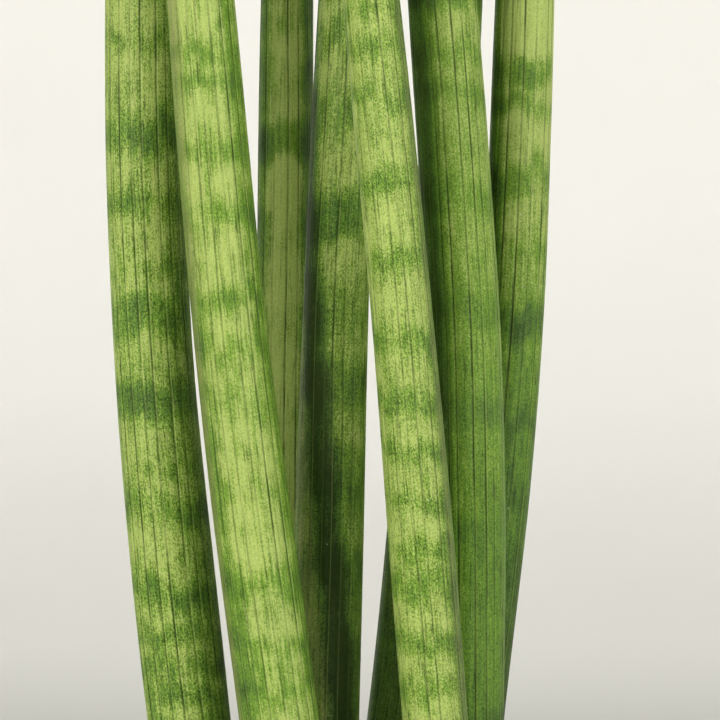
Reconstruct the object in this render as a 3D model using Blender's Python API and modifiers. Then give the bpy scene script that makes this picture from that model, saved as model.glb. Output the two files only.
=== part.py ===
"""A potted cylindrical snake plant: eight round, ribbed leaves standing in potting mix in a plain clay pot.

Metres, +Z up. The origin is the middle of the pot's underside, and -Y is the side the plant is seen from.
"""

import math
import random

import bmesh
import bpy
import numpy as np

MM = 0.001
FIT_GAP = 0.3 * MM

# Pot
POT_HEIGHT = 135 * MM
POT_FOOT_RADIUS = 52 * MM
POT_BODY_RADIUS = 68 * MM
COLLAR_RADIUS = 75 * MM
COLLAR_HEIGHT = 30 * MM
POT_WALL = 6 * MM
POT_FLOOR = 9 * MM
RIM_ROUND = 2.5 * MM
POT_SEGMENTS = 64
DRAIN_RADIUS = 6 * MM
DRAIN_RING_RADIUS = 27 * MM
DRAIN_COUNT = 3
DRAIN_SEGMENTS = 20

# Potting mix
SOIL_LEVEL = 115 * MM
SOIL_MOUND = 4 * MM
SOIL_RINGS = 9
SOIL_SEGMENTS = 56
SOIL_LUMP = 1.2 * MM
CHIP_COUNT = 46
CHIP_LENGTH = (7 * MM, 13 * MM)
CHIP_SEED = 11

# Leaves
LEAF_SIDES = 24
LEAF_ROOT_DEPTH = 30 * MM
ROOT_TAPER = 0.25
TAPER_START_POWER = 2.6
TAPER_END_POWER = 0.75
TIP_RADIUS = 0.7 * MM
RIB_DEPTH = 0.022
CHANNEL_DEPTH = 0.30
CHANNEL_HALF_ANGLE = 0.6
CHANNEL_REACH = 110 * MM
# Shares of the leaf's length at which its outline is set, closer together towards the tip
LEAF_STATIONS = (
    *(0.0, 0.06, 0.12, 0.19, 0.26, 0.33, 0.40, 0.47, 0.54),
    *(0.61, 0.68, 0.75, 0.81, 0.87, 0.92, 0.96, 0.985, 1.0),
)

# Each leaf's length above the mix and its radius at the foot, in millimetres
LEAF_SIZES = {
    "leaf_1": (640, 11.9),
    "leaf_2": (560, 10.7),
    "leaf_3": (650, 8.3),
    "leaf_4": (590, 9.7),
    "leaf_5": (570, 8.9),
    "leaf_6": (680, 10.4),
    "leaf_7": (700, 9.1),
    "leaf_8": (600, 8.5),
}

# The line of each leaf's middle as (height above the mix, x, y) in millimetres, from the foot to the tip
LEAF_PATHS = {
    "leaf_1": ((0, -28, -8), (121, -44.3, -8), (217, -54.2, -6), (314, -57.9, -4), (640, -42, -10)),
    "leaf_2": ((0, -4, -27), (123, -20.2, -28), (217, -32.2, -27), (312, -40.8, -27), (560, -55, -38)),
    "leaf_3": ((0, -22, 18), (118, -20.8, 26), (217, -20.1, 32), (318, -19.3, 36), (650, -12, 50)),
    "leaf_4": ((0, -6, 0), (120, -7.8, 2), (217, -5.9, 2), (315, -1.9, 5), (590, 10, 27)),
    "leaf_5": ((0, 29, -22), (123, 20.7, -26), (217, 13.2, -26), (312, 4.1, -24), (570, -21, -36)),
    "leaf_6": ((0, 28, 4), (120, 29.6, -3), (217, 29.6, 0), (314, 23.3, 2), (680, -1, -18)),
    "leaf_7": ((0, 20, 29), (118, 31.8, 24), (217, 41.9, 26), (317, 46.7, 30), (700, 54, 38)),
    "leaf_8": ((0, -3, 27), (118, 10.5, 27), (217, 20.8, 27), (317, 27.9, 30), (600, 36, 52)),
}

CLAY_COLOUR = (0.56, 0.25, 0.13, 1)
MIX_COLOUR = (0.07, 0.045, 0.03, 1)
LEAF_COLOUR = (0.16, 0.28, 0.06, 1)


def clear_scene():
    for obj in list(bpy.data.objects):
        bpy.data.objects.remove(obj)


def new_collection(name):
    collection = bpy.data.collections.new(name)
    bpy.context.scene.collection.children.link(collection)
    return collection


def new_material(name, colour, roughness):
    material = bpy.data.materials.new(name)
    material.use_nodes = True
    shader = material.node_tree.nodes["Principled BSDF"]
    shader.inputs["Base Color"].default_value = colour
    shader.inputs["Roughness"].default_value = roughness
    shader.inputs["Metallic"].default_value = 0.0
    material.diffuse_color = colour
    return material


def add_object(name, mesh, collection, material=None):
    obj = bpy.data.objects.new(name, mesh)
    collection.objects.link(obj)
    if material:
        mesh.materials.clear()
        mesh.materials.append(material)
    return obj


def as_helper(obj):
    obj.hide_render = True
    obj.display_type = "WIRE"
    return obj


def turned(name, profile, segments, collection):
    """A closed solid turned about Z from (radius, height) points."""
    mesh = bpy.data.meshes.new(name)
    points = [(radius, 0, height) for radius, height in profile]
    mesh.from_pydata(points, [(i, i + 1) for i in range(len(points) - 1)], [])
    obj = add_object(name, mesh, collection)
    screw = obj.modifiers.new("Turn", "SCREW")
    screw.axis = "Z"
    screw.steps = segments
    screw.render_steps = segments
    screw.use_merge_vertices = True
    screw.merge_threshold = 0.00005
    return obj


def applied(obj):
    """The object's modifiers made part of its mesh."""
    bpy.context.view_layer.update()
    graph = bpy.context.evaluated_depsgraph_get()
    finished = bpy.data.meshes.new_from_object(obj.evaluated_get(graph))
    obj.modifiers.clear()
    obj.data = finished
    return obj


def corner_arc(middle, radius, start_degrees, end_degrees, steps=4):
    """Points of a rounded corner in a (radius, height) profile."""
    angles = np.radians(np.linspace(start_degrees, end_degrees, steps + 1))
    return [(middle[0] + radius * math.cos(a), middle[1] + radius * math.sin(a)) for a in angles]


def pot_inner_radius(height):
    """Radius of the pot's inside at a height, a straight taper from its floor to its rim."""
    low = POT_FOOT_RADIUS - POT_WALL
    high = COLLAR_RADIUS - POT_WALL - 1.5 * MM
    return low + (high - low) * (height - POT_FLOOR) / (POT_HEIGHT - POT_FLOOR)


def build_pot(collection, cutters, material):
    collar_foot = POT_HEIGHT - COLLAR_HEIGHT
    rim_inside = pot_inner_radius(POT_HEIGHT)
    profile = (
        [(0, POT_FLOOR), (pot_inner_radius(POT_FLOOR), POT_FLOOR)]
        + corner_arc((rim_inside + RIM_ROUND, POT_HEIGHT - RIM_ROUND), RIM_ROUND, 180, 90)
        + corner_arc((COLLAR_RADIUS - RIM_ROUND, POT_HEIGHT - RIM_ROUND), RIM_ROUND, 90, 0)
        + [(COLLAR_RADIUS - 1.2 * MM, collar_foot + 1.5 * MM), (COLLAR_RADIUS - 2.6 * MM, collar_foot)]
        + [(POT_BODY_RADIUS, collar_foot - 0.5 * MM)]
        + [(POT_FOOT_RADIUS + 0.4 * MM, 2 * MM), (POT_FOOT_RADIUS - 1.4 * MM, 0), (0, 0)]
    )
    pot = turned("pot", profile, POT_SEGMENTS, collection)
    drains = bmesh.new()
    for number in range(DRAIN_COUNT):
        angle = math.radians(90 + 360 / DRAIN_COUNT * number)
        drill = bmesh.ops.create_cone(
            drains, cap_ends=True, segments=DRAIN_SEGMENTS,
            radius1=DRAIN_RADIUS, radius2=DRAIN_RADIUS, depth=4 * POT_FLOOR,
        )
        place = (DRAIN_RING_RADIUS * math.cos(angle), DRAIN_RING_RADIUS * math.sin(angle), 0)
        bmesh.ops.translate(drains, verts=drill["verts"], vec=place)
    mesh = bpy.data.meshes.new("drain_holes")
    drains.to_mesh(mesh)
    drains.free()
    cutter = as_helper(add_object("drain_holes", mesh, cutters))
    cut = pot.modifiers.new("Drain holes", "BOOLEAN")
    cut.object = cutter
    applied(pot)
    pot.data.materials.clear()
    pot.data.materials.append(material)
    pot.data.polygons.foreach_set("use_smooth", [True] * len(pot.data.polygons))
    pot.data.set_sharp_from_angle(angle=math.radians(35))
    return pot


def leaf_middle(name, height):
    """The leaf's middle at a height above the mix: a smooth curve, straight below the mix."""
    path = np.array(LEAF_PATHS[name], float) * MM
    heights, places = path[:, 0], path[:, 1:]
    slopes = np.gradient(places, heights, axis=0)
    if height <= heights[0]:
        return places[0] + slopes[0] * (height - heights[0])
    last = len(heights) - 2
    span = min(int(np.searchsorted(heights, height, side="right")) - 1, last)
    width = heights[span + 1] - heights[span]
    t = (height - heights[span]) / width
    return (
        (2 * t**3 - 3 * t**2 + 1) * places[span]
        + (t**3 - 2 * t**2 + t) * width * slopes[span]
        + (3 * t**2 - 2 * t**3) * places[span + 1]
        + (t**3 - t**2) * width * slopes[span + 1]
    )


def leaf_radius(name, height):
    """A long taper that closes to a point, drawn in a little where the leaf is rooted in the mix."""
    length, foot_radius = (size * MM for size in LEAF_SIZES[name])
    if height < 0:
        return foot_radius * (1 - ROOT_TAPER * (height / LEAF_ROOT_DEPTH) ** 2)
    share = min(height / length, 1.0)
    return max(foot_radius * (1 - share**TAPER_START_POWER) ** TAPER_END_POWER, TIP_RADIUS)


def leaf_outline(name, height, grow=0.0):
    """The leaf's ribbed outline at a height, with a channel near the foot that faces the plant's middle."""
    middle_x, middle_y = leaf_middle(name, height)
    foot_x, foot_y = leaf_middle(name, 0)
    inward = math.atan2(-foot_y, -foot_x)
    radius = leaf_radius(name, height)
    channel = CHANNEL_DEPTH * math.exp(-((height / CHANNEL_REACH) ** 2))
    points = []
    for side in range(LEAF_SIDES):
        angle = 2 * math.pi * side / LEAF_SIDES
        turn = math.remainder(angle - inward, 2 * math.pi)
        dent = channel * math.exp(-((turn / CHANNEL_HALF_ANGLE) ** 2))
        rib = RIB_DEPTH * (side % 2)
        reach = radius * (1 - dent) * (1 - rib) + grow
        x = middle_x + reach * math.cos(angle)
        y = middle_y + reach * math.sin(angle)
        points.append((x, y, SOIL_LEVEL + height))
    return points


def lofted(name, outlines):
    """A closed solid through level outlines with the same number of points, lowest first."""
    shape = bmesh.new()
    rings = [[shape.verts.new(point) for point in outline] for outline in outlines]
    for lower, upper in zip(rings, rings[1:]):
        for side in range(LEAF_SIDES):
            after = (side + 1) % LEAF_SIDES
            shape.faces.new((lower[side], lower[after], upper[after], upper[side]))
    shape.faces.new(reversed(rings[0]))
    shape.faces.new(rings[-1])
    mesh = bpy.data.meshes.new(name)
    shape.to_mesh(mesh)
    shape.free()
    return mesh


def build_leaf(name, collection, material):
    length = LEAF_SIZES[name][0] * MM
    heights = [-LEAF_ROOT_DEPTH, -LEAF_ROOT_DEPTH / 2] + [share * length for share in LEAF_STATIONS]
    mesh = lofted(name, [leaf_outline(name, height) for height in heights])
    leaf = add_object(name, mesh, collection, material)
    mesh.polygons.foreach_set("use_smooth", [True] * len(mesh.polygons))
    mesh.set_sharp_from_angle(angle=math.radians(40))
    return leaf


def build_leaf_holes(cutters):
    """One solid for each leaf's hole in the mix, a fit gap wider and deeper than the leaf."""
    heights = (-LEAF_ROOT_DEPTH - FIT_GAP, -LEAF_ROOT_DEPTH / 2, 0, 4 * SOIL_MOUND)
    holes = []
    for name in LEAF_SIZES:
        outlines = [leaf_outline(name, height, grow=FIT_GAP) for height in heights]
        holes.append(as_helper(add_object(name + "_hole", lofted(name + "_hole", outlines), cutters)))
    return holes


def soil_height(x, y):
    """Height of the mix's surface: a low mound with lumps."""
    reach = math.hypot(x, y) / pot_inner_radius(SOIL_LEVEL)
    mound = SOIL_MOUND * (1 - reach**2)
    lumps = (
        math.sin(310 * x + 1.3) * math.cos(270 * y - 0.4)
        + 0.6 * math.sin(620 * x - 480 * y)
        + 0.5 * math.cos(560 * x + 710 * y + 2.0)
    )
    return SOIL_LEVEL + mound + SOIL_LUMP * lumps * (1 - reach**6)


def build_chips(cutters, holder):
    """Bark chips sunk in the mix's surface, spread by a seeded draw and kept off the leaves and the pot."""
    draw = random.Random(CHIP_SEED)
    feet = [(leaf_middle(name, 0), leaf_radius(name, 0)) for name in LEAF_SIZES]
    placed = []
    while len(placed) < CHIP_COUNT:
        length = draw.uniform(*CHIP_LENGTH)
        reach = (pot_inner_radius(SOIL_LEVEL) - length * 0.6) * math.sqrt(draw.random())
        around = draw.uniform(0, 2 * math.pi)
        x, y = reach * math.cos(around), reach * math.sin(around)
        on_leaf = any(math.dist((x, y), foot) < radius + length * 0.6 for foot, radius in feet)
        on_chip = any(math.dist((x, y), other[:2]) < (length + other[2]) / 2 for other in placed)
        if on_leaf or on_chip:
            continue
        placed.append((x, y, length))
        bpy.ops.mesh.primitive_cube_add(size=1, location=(x, y, soil_height(x, y) + 0.4 * MM))
        chip = bpy.context.active_object
        chip.name = f"chip_{len(placed)}"
        chip.scale = (length, length * draw.uniform(0.4, 0.7), length * draw.uniform(0.25, 0.4))
        chip.rotation_euler = (draw.uniform(-0.35, 0.35), draw.uniform(-0.35, 0.35), draw.uniform(0, math.pi))
        for owner in list(chip.users_collection):
            owner.objects.unlink(chip)
        holder.objects.link(chip)
        as_helper(chip)


def build_soil(collection, cutters, material):
    floor = POT_FLOOR + FIT_GAP
    edge = pot_inner_radius(SOIL_LEVEL) - 1.5 * FIT_GAP
    foot = pot_inner_radius(floor) - 1.5 * FIT_GAP
    surface = [(edge * ring / SOIL_RINGS, SOIL_LEVEL) for ring in range(SOIL_RINGS + 1)]
    soil = applied(turned("soil", surface + [(foot, floor), (0, floor)], SOIL_SEGMENTS, collection))
    for vertex in soil.data.vertices:
        if vertex.co.z > SOIL_LEVEL - 1e-6:
            vertex.co.z = soil_height(vertex.co.x, vertex.co.y)
    chips = new_collection("bark_chips")
    build_chips(cutters, chips)
    join = soil.modifiers.new("Chips", "BOOLEAN")
    join.operation = "UNION"
    join.solver = "MANIFOLD"
    join.operand_type = "COLLECTION"
    join.collection = chips
    applied(soil)
    for chip in list(chips.objects):
        bpy.data.objects.remove(chip)
    for hole in build_leaf_holes(cutters):
        cut = soil.modifiers.new(hole.name, "BOOLEAN")
        cut.object = hole
    applied(soil)
    soil.data.materials.clear()
    soil.data.materials.append(material)
    return soil


def main():
    clear_scene()
    plant = new_collection("cylindrical_snake_plant")
    cutters = new_collection("cutters")
    build_pot(plant, cutters, new_material("clay", CLAY_COLOUR, 0.9))
    build_soil(plant, cutters, new_material("potting_mix", MIX_COLOUR, 1.0))
    skin = new_material("leaf_skin", LEAF_COLOUR, 0.45)
    for name in LEAF_SIZES:
        build_leaf(name, plant, skin)


main()
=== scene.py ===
"""Looks of a potted cylindrical snake plant: grooved and banded leaves, potting mix and a clay pot.

It is laid out as an add-on and run as a script, on the solids that the frame holds. Metres, +Z up. The
origin is the middle of the pot's underside, and the plant is seen from -Y.
"""

import math
import random
from collections import namedtuple

import bpy
import numpy as np
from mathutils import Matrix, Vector, noise


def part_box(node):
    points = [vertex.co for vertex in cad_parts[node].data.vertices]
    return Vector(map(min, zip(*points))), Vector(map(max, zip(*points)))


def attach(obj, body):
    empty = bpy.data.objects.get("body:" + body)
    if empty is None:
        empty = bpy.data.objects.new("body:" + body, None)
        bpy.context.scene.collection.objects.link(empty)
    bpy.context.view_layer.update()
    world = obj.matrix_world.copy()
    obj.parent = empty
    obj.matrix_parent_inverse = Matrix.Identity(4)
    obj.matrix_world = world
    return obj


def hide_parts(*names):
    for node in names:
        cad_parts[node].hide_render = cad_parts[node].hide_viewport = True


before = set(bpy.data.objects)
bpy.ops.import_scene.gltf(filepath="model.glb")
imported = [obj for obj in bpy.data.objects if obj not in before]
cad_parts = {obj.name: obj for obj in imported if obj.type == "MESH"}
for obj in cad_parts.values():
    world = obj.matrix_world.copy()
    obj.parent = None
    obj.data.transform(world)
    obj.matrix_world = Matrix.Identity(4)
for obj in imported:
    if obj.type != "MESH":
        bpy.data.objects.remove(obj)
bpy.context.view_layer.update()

bl_info = {
    "name": "Cylindrical Snake Plant",
    "version": (1, 0, 0),
    "blender": (4, 5, 0),
    "location": "3D View > Sidebar > Snake Plant",
    "description": "Dresses the solids of a potted cylindrical snake plant in leaf skin, mix and clay",
    "category": "Object",
}

MM = 0.001
FULL_TURN = 2 * math.pi
BODY = "root"

LEAF_NAMES = sorted(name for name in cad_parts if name.startswith("leaf_"))
MIX_LEVEL = 0.115

# How each leaf differs: the darkness of its ground at the foot and at the top of the stretch in the
# photograph, partly its own green and partly painted shade where its neighbours shade it (and painted
# light where a leaf in shade is drawn lighter), how mottled and how speckled it is, then its dry rims and
# its strips of painted shade, each as (direction, width, strength, turn per 100 mm downwards), in degrees.
# The strips of painted shade stand mostly for the shade and cast shadows of the neighbouring leaves, and
# partly for darker green of the leaf. 270 degrees faces the viewer, 180 is the left side and 0 the right,
# and the direction is that in the middle of the stretch.
LEAF_LOOKS = {
    "leaf_1": ((0.24, 0.09), 1.0, 0.9, ((176, 12, 0.4, 0),), ((332, 70, 0.22, -8),)),
    "leaf_2": (
        (0.16, 0.04), 0.9, 0.56,
        ((196, 40, 0.75, -10), (30, 14, 0.5, 0)), ((345, 52, 0.42, 22), (172, 96, 0.45, 30)),
    ),
    "leaf_3": ((-0.22, -0.15), 0.7, 0.5, (), ((200, 62, 0.8, 0), (341, 68, 0.9, 0))),
    # On leaf_4 the winding dark strip is painted shadow that leaf_2 casts across it, and the winding rim is
    # painted light on the lit edge beside that shadow.
    "leaf_4": ((0.62, 0.05), 0.8, 0.8, ((186, 36, 0.55, 74),), ((233, 46, 1.15, 72),)),
    "leaf_5": (
        (0.12, 0.06), 0.9, 0.86,
        ((341, 40, 0.42, 0), (150, 10, 0.5, 0)), ((341, 40, 0.6, 0),),
    ),
    "leaf_6": ((0.80, 0.20), 0.5, 0.58, ((8, 12, 0.3, 0),), ((206, 60, 0.95, 0),)),
    "leaf_7": ((1.50, -0.34), 0.7, 0.58, ((2, 10, 0.35, 0),), ((209, 66, 0.8, 26),)),
    "leaf_8": ((0.85, 0.50), 0.8, 0.6, (), ((250, 90, 0.1, 0),)),
}

# Where a leaf of the photograph strays from the solid's even sweep, as (height above the mix, spread
# along it, shift to the right, growth of the radius), in millimetres.
LEAF_TRIMS = {
    "leaf_1": ((215, 70, 0.0, -0.55), (325, 55, 0.8, 0.0)),
    "leaf_7": ((215, 80, 0.75, 0.0),),
    "leaf_8": ((140, 50, 1.1, 0.0),),
}

# The dark cross bands that the photograph shows, as (height above the mix, width, strength), in
# millimetres. Above and below them the bands follow a seeded rule.
SEEN_BANDS = {
    "leaf_1": (
        (302, 4, 0.35), (278, 9, 0.7), (258, 6, 0.5), (241, 5, 0.4), (228, 11, 0.5), (206, 9, 0.85),
        (187, 3, 0.3), (177, 7, 0.55), (156, 6, 0.6), (144, 4, 0.5), (135, 5, 0.5), (127, 4, 0.5),
    ),
    "leaf_2": (
        (298, 5, 0.45), (289, 4, 0.4), (272, 5, 0.4), (254, 6, 0.5), (234, 5, 0.45), (221, 6, 0.4),
        (205, 12, 0.12), (182, 8, 0.12), (158, 6, 0.42), (143, 4, 0.5), (137, 4, 0.3), (131, 4, 0.5),
    ),
    "leaf_3": (
        (311, 7, 0.4), (296, 10, 0.35), (278, 10, 0.8), (252, 12, 0.35), (226, 12, 0.3), (196, 12, 0.3),
    ),
    "leaf_4": (
        (305, 9, 0.5), (284, 9, 0.55), (255, 12, 0.6), (232, 14, 0.3), (210, 9, 0.6),
        (186, 14, 0.3), (160, 12, 0.35), (136, 12, 0.35),
    ),
    "leaf_5": (
        (309, 5, 0.5), (300, 5, 0.5), (286, 4, 0.5), (264, 6, 0.55), (244, 5, 0.5), (222, 6, 0.6),
        (207, 6, 0.55), (194, 4, 0.55), (180, 3, 0.45), (168, 5, 0.6), (157, 7, 0.6),
        (144, 4, 0.6), (131, 4, 0.55),
    ),
    "leaf_6": ((300, 6, 0.35), (288, 4, 0.3), (262, 9, 0.25), (232, 9, 0.25), (204, 8, 0.25), (170, 9, 0.2)),
    "leaf_7": ((297, 9, 0.75), (287, 5, 0.55), (267, 9, 0.7), (247, 5, 0.3), (228, 9, 0.65), (199, 5, 0.5)),
    "leaf_8": ((290, 9, 0.5), (262, 9, 0.5), (236, 9, 0.5), (205, 9, 0.5), (170, 9, 0.4)),
}
SEEN_HEIGHTS = (122 * MM, 312 * MM)


class LeafSettings(bpy.types.PropertyGroup):
    groove_spacing: bpy.props.FloatProperty(
        name="Groove Spacing", description="Distance round the leaf between its lengthwise grooves",
        default=3.5 * MM, unit="LENGTH",
    )
    groove_depth: bpy.props.FloatProperty(
        name="Groove Depth", description="How deep the strongest groove is",
        default=0.22 * MM, unit="LENGTH",
    )
    row_height: bpy.props.FloatProperty(
        name="Row Height", description="Height of one row of faces along the bands that the photograph shows",
        default=1.25 * MM, unit="LENGTH",
    )
    light_colour: bpy.props.FloatVectorProperty(
        name="Light Ground", description="Yellow-green between the bands",
        default=(0.445, 0.545, 0.145), subtype="COLOR",
    )
    ground_colour: bpy.props.FloatVectorProperty(
        name="Ground", description="Green of the plain skin",
        default=(0.166, 0.318, 0.026), subtype="COLOR",
    )
    band_colour: bpy.props.FloatVectorProperty(
        name="Band", description="Blue-green of the cross bands",
        default=(0.078, 0.170, 0.024), subtype="COLOR",
    )
    deep_colour: bpy.props.FloatVectorProperty(
        name="Deep Band", description="Darkest green inside the bands and grooves",
        default=(0.017, 0.046, 0.002), subtype="COLOR",
    )
    rim_colour: bpy.props.FloatVectorProperty(
        name="Dry Rim", description="Tan of the dry strip along a leaf",
        default=(0.255, 0.27, 0.095), subtype="COLOR",
    )
    foot_colour: bpy.props.FloatVectorProperty(
        name="Foot", description="Pale skin where the leaf leaves the mix",
        default=(0.47, 0.42, 0.22), subtype="COLOR",
    )
    spine_colour: bpy.props.FloatVectorProperty(
        name="Spine", description="Brown of the hard tip",
        default=(0.085, 0.045, 0.022), subtype="COLOR",
    )
    roughness: bpy.props.FloatProperty(
        name="Roughness", description="Roughness of the waxy skin",
        default=0.48, min=0, max=1, subtype="FACTOR",
    )


class MixSettings(bpy.types.PropertyGroup):
    peat_colour: bpy.props.FloatVectorProperty(
        name="Peat", description="Dark brown of the potting mix",
        default=(0.040, 0.026, 0.017), subtype="COLOR",
    )
    bark_colour: bpy.props.FloatVectorProperty(
        name="Bark", description="Brown of the bark chips",
        default=(0.16, 0.075, 0.036), subtype="COLOR",
    )
    grit_colour: bpy.props.FloatVectorProperty(
        name="Grit", description="Off-white of the perlite grains",
        default=(0.72, 0.70, 0.65), subtype="COLOR",
    )
    bark_count: bpy.props.IntProperty(
        name="Bark Chips", description="Loose chips of bark on the mix",
        default=150,
    )
    grit_count: bpy.props.IntProperty(
        name="Grit Grains", description="Grains of perlite on the mix",
        default=170,
    )
    crumb_count: bpy.props.IntProperty(
        name="Crumbs", description="Small crumbs of peat on the mix",
        default=420,
    )


class PotSettings(bpy.types.PropertyGroup):
    clay_colour: bpy.props.FloatVectorProperty(
        name="Clay", description="Fired clay",
        default=(0.50, 0.21, 0.105), subtype="COLOR",
    )
    bloom_colour: bpy.props.FloatVectorProperty(
        name="Bloom", description="Pale mineral bloom that water leaves on the clay",
        default=(0.62, 0.47, 0.36), subtype="COLOR",
    )
    damp_colour: bpy.props.FloatVectorProperty(
        name="Damp Clay", description="Darker clay where the wall is damp",
        default=(0.27, 0.10, 0.05), subtype="COLOR",
    )


class StageSettings(bpy.types.PropertyGroup):
    wall_colour: bpy.props.FloatVectorProperty(
        name="Backdrop", description="Warm white of the backdrop's wall",
        default=(0.79, 0.78, 0.745), subtype="COLOR",
    )
    floor_colour: bpy.props.FloatVectorProperty(
        name="Floor", description="Warm white of the floor",
        default=(0.53, 0.53, 0.495), subtype="COLOR",
    )
    key_power: bpy.props.FloatProperty(
        name="Key Light", description="Power of the large soft light at the front left",
        default=37.0, unit="POWER",
    )
    fill_power: bpy.props.FloatProperty(
        name="Fill Light", description="Power of the large soft light at the front right",
        default=23.0, unit="POWER",
    )
    top_power: bpy.props.FloatProperty(
        name="Top Light", description="Power of the soft light overhead",
        default=14.0, unit="POWER",
    )
    wall_power: bpy.props.FloatProperty(
        name="Backdrop Lights", description="Power of each light that faces the backdrop",
        default=97.0, unit="POWER",
    )
    sky_strength: bpy.props.FloatProperty(
        name="Room Light", description="Strength of the even light from all round",
        default=0.2,
    )


class Shader:
    """The nodes of one material, added and linked in short calls."""

    def __init__(self, name):
        self.material = bpy.data.materials.new(name)
        self.material.use_nodes = True
        self.tree = self.material.node_tree
        self.surface = self.tree.nodes["Principled BSDF"]

    def node(self, kind, inputs=None, **settings):
        """Adds a node with its settings, and feeds the inputs that are given by name or number."""
        made = self.tree.nodes.new(kind)
        for setting, value in settings.items():
            setattr(made, setting, value)
        for socket, value in (inputs or {}).items():
            self.feed(made.inputs[socket], value)
        return made

    def feed(self, socket, value):
        """Links another node's output to the socket, or sets the socket to a plain value."""
        if isinstance(value, bpy.types.NodeSocket):
            self.tree.links.new(value, socket)
        elif isinstance(value, (int, float)):
            socket.default_value = value
        else:
            socket.default_value = tuple(value) + (1.0,) * (len(socket.default_value) - len(value))

    def attribute(self, name, output="Fac"):
        return self.node("ShaderNodeAttribute", attribute_name=name).outputs[output]

    def object_place(self):
        return self.node("ShaderNodeTexCoord").outputs["Object"]

    def stretched(self, vector, scale):
        made = self.node("ShaderNodeVectorMath", {0: vector, 1: scale}, operation="MULTIPLY")
        return made.outputs["Vector"]

    def height_of(self, vector):
        return self.node("ShaderNodeSeparateXYZ", {0: vector}).outputs["Z"]

    def noise(self, vector, size, stretch=None, detail=2.0, roughness=0.5):
        """Soft noise whose patches are about size across, and longer where the stretch is under 1."""
        if stretch:
            vector = self.stretched(vector, stretch)
        inputs = {"Vector": vector, "Scale": 1 / size, "Detail": detail, "Roughness": roughness}
        return self.node("ShaderNodeTexNoise", inputs).outputs["Fac"]

    def cells(self, vector, size):
        """Cells about size across: the distance from each one's middle, and a colour for each."""
        return self.node("ShaderNodeTexVoronoi", {"Vector": vector, "Scale": 1 / size}).outputs

    def math(self, operation, first, second=0.0, clamp=False):
        made = self.node("ShaderNodeMath", {0: first, 1: second}, operation=operation, use_clamp=clamp)
        return made.outputs["Value"]

    def times(self, first, second):
        return self.math("MULTIPLY", first, second)

    def total(self, *values):
        result = values[0]
        for value in values[1:]:
            result = self.math("ADD", result, value)
        return result

    def swing(self, value, reach):
        """A noise between 0 and 1 made to swing about zero."""
        return self.times(self.math("SUBTRACT", value, 0.5), reach)

    def between(self, value, low, high, start=0.0, end=1.0):
        """Start below low, end above high and a smooth step from one to the other in between."""
        inputs = {"Value": value, "From Min": low, "From Max": high, "To Min": start, "To Max": end}
        return self.node("ShaderNodeMapRange", inputs, interpolation_type="SMOOTHSTEP").outputs["Result"]

    def ramp(self, value, stops):
        """A colour read off (place, colour) stops."""
        made = self.node("ShaderNodeValToRGB", {"Fac": value})
        elements = made.color_ramp.elements
        while len(elements) < len(stops):
            elements.new(0.5)
        for element, (place, colour) in zip(elements, stops):
            element.position = place
            element.color = (*colour, 1.0)
        return made.outputs["Color"]

    def mixed(self, share, first, second, blend="MIX"):
        """Two colours mixed. The node's sockets share their names, so the colours go by number."""
        inputs = {0: share, 6: first, 7: second}
        return self.node("ShaderNodeMix", inputs, data_type="RGBA", blend_type=blend).outputs[2]

    def finished(self, colour, roughness, relief=None, depth=0.0, gloss=0.5):
        """The material, with its colour, its roughness, its fine relief down to a depth and its gloss."""
        self.feed(self.surface.inputs["Base Color"], colour)
        self.feed(self.surface.inputs["Roughness"], roughness)
        self.surface.inputs["Specular IOR Level"].default_value = gloss
        if relief is not None:
            bump = self.node("ShaderNodeBump", {"Distance": depth, "Height": relief})
            self.feed(self.surface.inputs["Normal"], bump.outputs["Normal"])
        return self.material


def shaded(colour, factor):
    """A colour made lighter or darker by a factor."""
    return tuple(min(1.0, part * factor) for part in colour)


# Leaf skin

SPECK_SIZE = 0.36 * MM
PEPPER_SIZE = 0.42 * MM
FLECK_SIZE = 0.55 * MM
STREAK_SIZE = 0.7 * MM
FIBRE_SIZE = 1.3 * MM
WAX_SIZE = 2.2 * MM
MOTTLE_SIZE = 4.5 * MM
PATCH_SIZE = 24 * MM
LINE_WIDTHS = (0.12 * MM, 0.38 * MM)
PALE_MARK_SPACING = 7 * MM
BROWN_MARK_SPACING = 11 * MM
FOOT_PALE_TO = 34 * MM
FOOT_STAIN_TO = 5 * MM
TIP_BROWN_FROM = 0.6
PEPPER_TINT = (0.55, 0.66, 0.50)
# Pale colour of the wax scuffs and of the painted sheen
WAX_AND_SHEEN_COLOUR = (0.44, 0.53, 0.20)
PALE_MARK_COLOUR = (0.60, 0.62, 0.50)
BROWN_MARK_COLOUR = (0.10, 0.055, 0.025)
STAIN_COLOUR = (0.12, 0.075, 0.04)


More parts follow.
